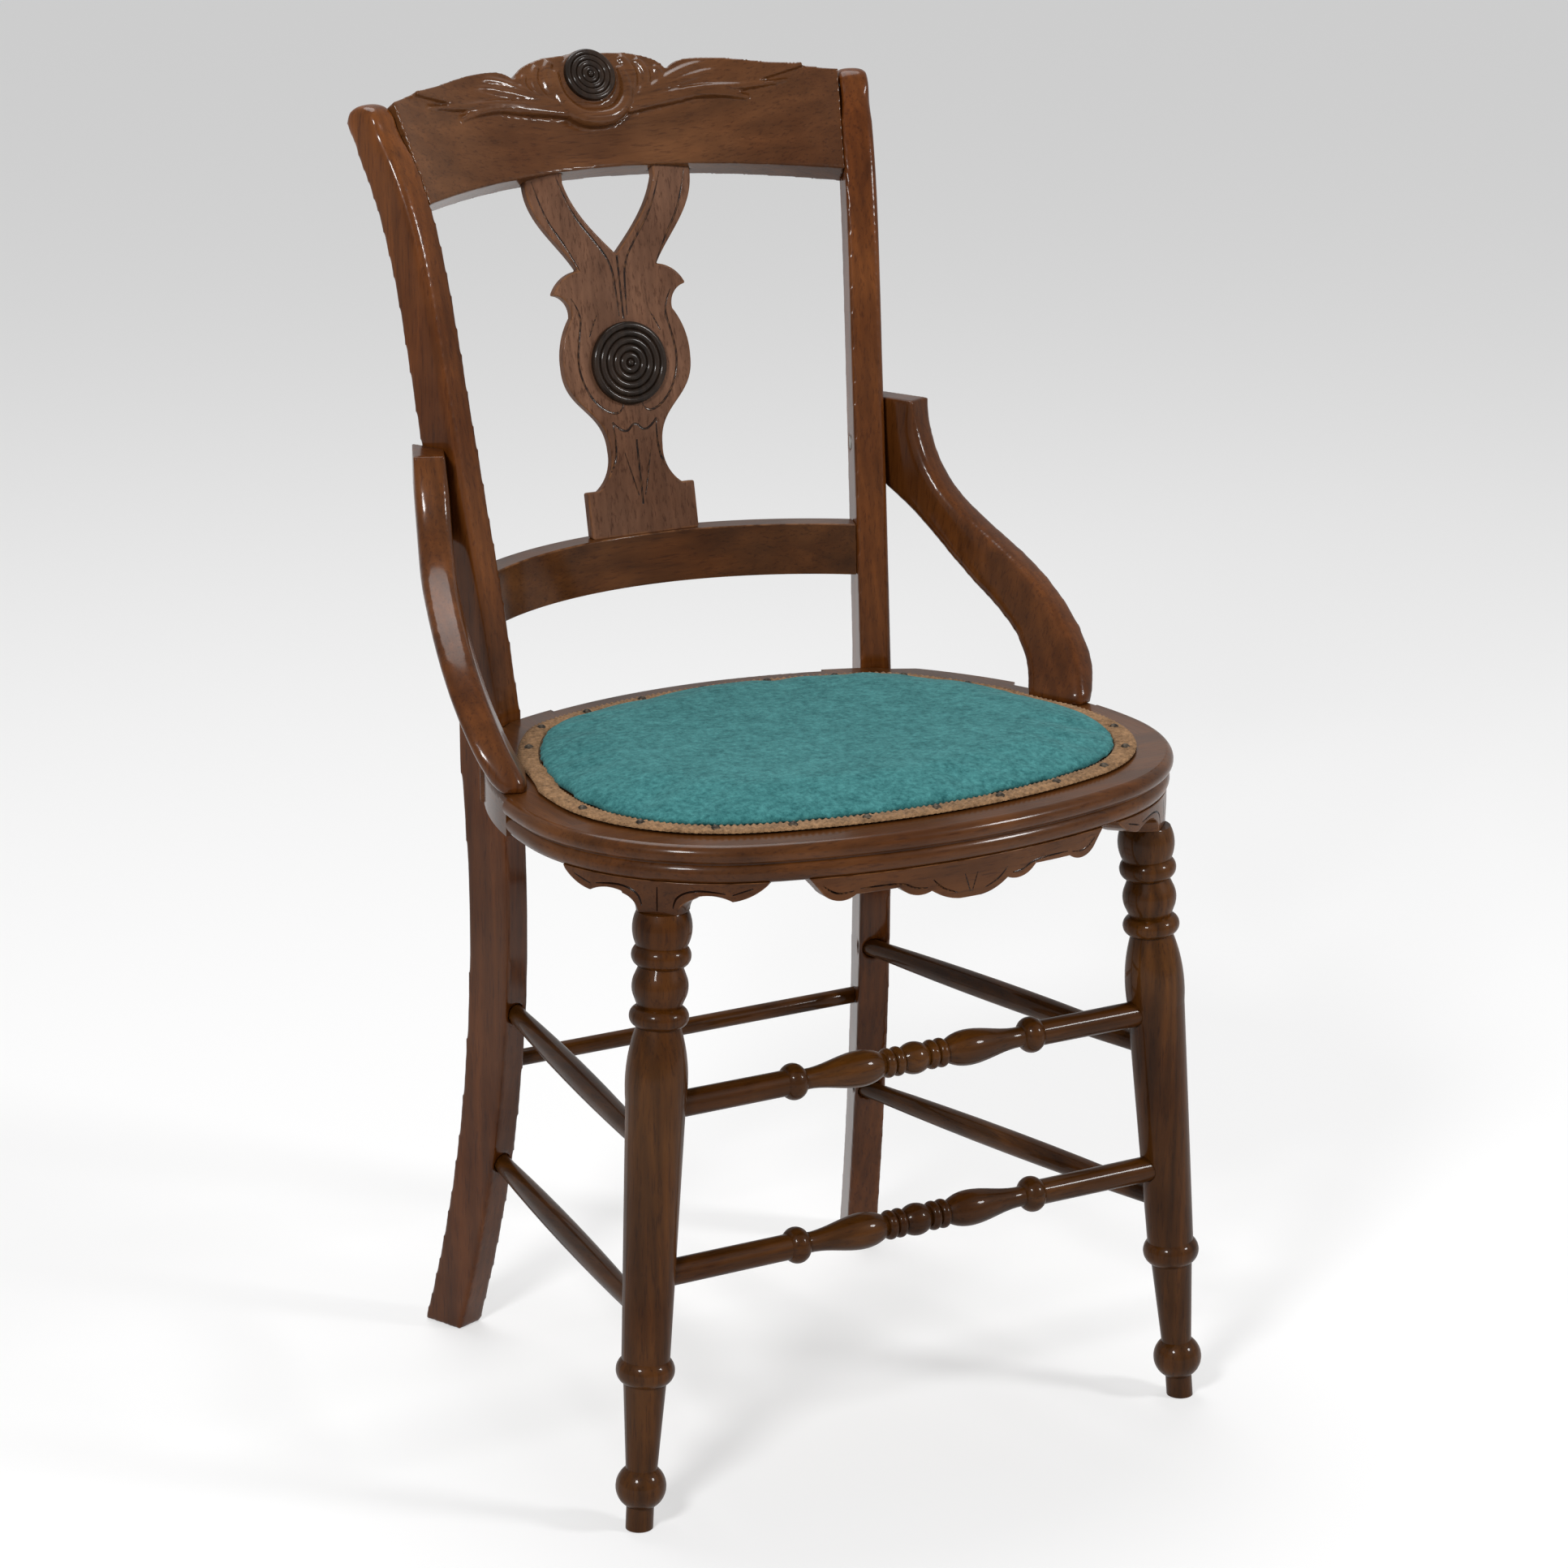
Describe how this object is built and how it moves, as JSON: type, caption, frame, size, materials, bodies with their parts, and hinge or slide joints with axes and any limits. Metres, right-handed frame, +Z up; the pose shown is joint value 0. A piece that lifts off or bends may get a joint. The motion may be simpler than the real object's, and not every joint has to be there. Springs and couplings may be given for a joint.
{
  "type": "parlor chair",
  "caption": "Walnut parlor side chair with turned front legs, splayed rear posts, hip rests, a carved crest rail, a pierced splat and a round upholstered seat.",
  "frame": {"origin": "middle of the overall box, at floor height", "axes": "+X to the viewer's right when facing the chair, +Y to the back of the chair, +Z up"},
  "size_m": [0.465, 0.5263, 0.8583],
  "materials": {
    "walnut": "semi-gloss varnish",
    "ebonised": "satin black stain",
    "velvet": "short pile",
    "stuffing": "matte fibre",
    "braid": "woven",
    "tack_metal": "dull",
    "panel_wood": "bare",
    "dowel_wood": "bare",
    "screw_steel": "plain"
  },
  "bodies": {
    "root": {"back_splat": "walnut", "crest_rail": "walnut", "crest_rosette": "ebonised", "front_leg_left": "walnut", "front_leg_right": "walnut", "front_stretcher_lower": "walnut", "front_stretcher_upper": "walnut", "gimp_tacks": "tack_metal", "hip_rest_left": "walnut", "hip_rest_right": "walnut", "hip_rest_screws": "screw_steel", "leg_bracket_left": "walnut", "leg_bracket_right": "walnut", "lower_back_rail": "walnut", "rail_dowels": "dowel_wood", "rear_post_left": "walnut", "rear_post_right": "walnut", "rear_stretcher": "walnut", "seat_apron": "walnut", "seat_back_rail": "walnut", "seat_cover": "velvet", "seat_front_rail": "walnut", "seat_gimp": "braid", "seat_pad": "stuffing", "seat_panel": "panel_wood", "seat_post_dowels": "dowel_wood", "seat_side_rail_left": "walnut", "seat_side_rail_right": "walnut", "side_stretcher_lower_left": "walnut", "side_stretcher_lower_right": "walnut", "side_stretcher_upper_left": "walnut", "side_stretcher_upper_right": "walnut", "splat_roundel": "ebonised"}
  },
  "joints": []
}
